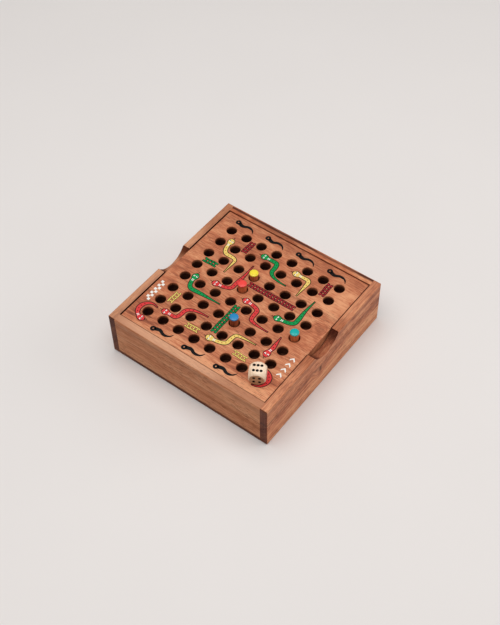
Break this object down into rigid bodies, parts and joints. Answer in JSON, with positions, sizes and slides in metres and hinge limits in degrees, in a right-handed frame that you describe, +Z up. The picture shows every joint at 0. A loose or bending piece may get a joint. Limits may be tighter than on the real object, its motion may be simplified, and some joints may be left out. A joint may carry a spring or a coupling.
{
  "type": "snakes and ladders board",
  "caption": "Square wooden travel game box with a lift-out drilled playing board, finger notches, painted pegs and a wooden die.",
  "frame": {"origin": "middle of the box's underside", "axes": "+X along the front notched wall to the right, +Y to the back notched wall, +Z up"},
  "size_m": [0.15, 0.15, 0.0541],
  "materials": {
    "wall_wood": "satin oiled reddish brown hardwood",
    "bottom_wood": "satin oiled reddish brown hardwood",
    "block_wood": "plain sawn hardwood",
    "board_wood": "satin oiled reddish brown hardwood with a painted course",
    "peg_yellow_wood": "brown dowel with a gloss yellow top",
    "peg_red_wood": "brown dowel with a gloss red top",
    "peg_blue_wood": "brown dowel with a gloss blue top",
    "peg_teal_wood": "brown dowel with a gloss teal top",
    "die_wood": "smooth pale wood with black pips"
  },
  "bodies": {
    "box": {"front_wall": "wall_wood", "back_wall": "wall_wood", "left_wall": "wall_wood", "right_wall": "wall_wood", "bottom_panel": "bottom_wood", "corner_block_front_left": "block_wood", "corner_block_front_right": "block_wood", "corner_block_back_left": "block_wood", "corner_block_back_right": "block_wood"},
    "board": {"board": "board_wood"},
    "peg_yellow": {"peg_yellow": "peg_yellow_wood"},
    "peg_red": {"peg_red": "peg_red_wood"},
    "peg_blue": {"peg_blue": "peg_blue_wood"},
    "peg_teal": {"peg_teal": "peg_teal_wood"},
    "die": {"die": "die_wood"}
  },
  "joints": [
    {"name": "board_lift", "type": "slide", "parent": "box", "child": "board", "axis": [0, 0, 1], "range_m": [0, 0.04]},
    {"name": "peg_yellow_lift", "type": "slide", "parent": "board", "child": "peg_yellow", "axis": [0, 0, 1], "range_m": [0, 0.02]},
    {"name": "peg_red_lift", "type": "slide", "parent": "board", "child": "peg_red", "axis": [0, 0, 1], "range_m": [0, 0.02]},
    {"name": "peg_blue_lift", "type": "slide", "parent": "board", "child": "peg_blue", "axis": [0, 0, 1], "range_m": [0, 0.02]},
    {"name": "peg_teal_lift", "type": "slide", "parent": "board", "child": "peg_teal", "axis": [0, 0, 1], "range_m": [0, 0.02]},
    {"name": "die_lift", "type": "slide", "parent": "board", "child": "die", "axis": [0, 0, 1], "range_m": [0, 0.03]}
  ]
}
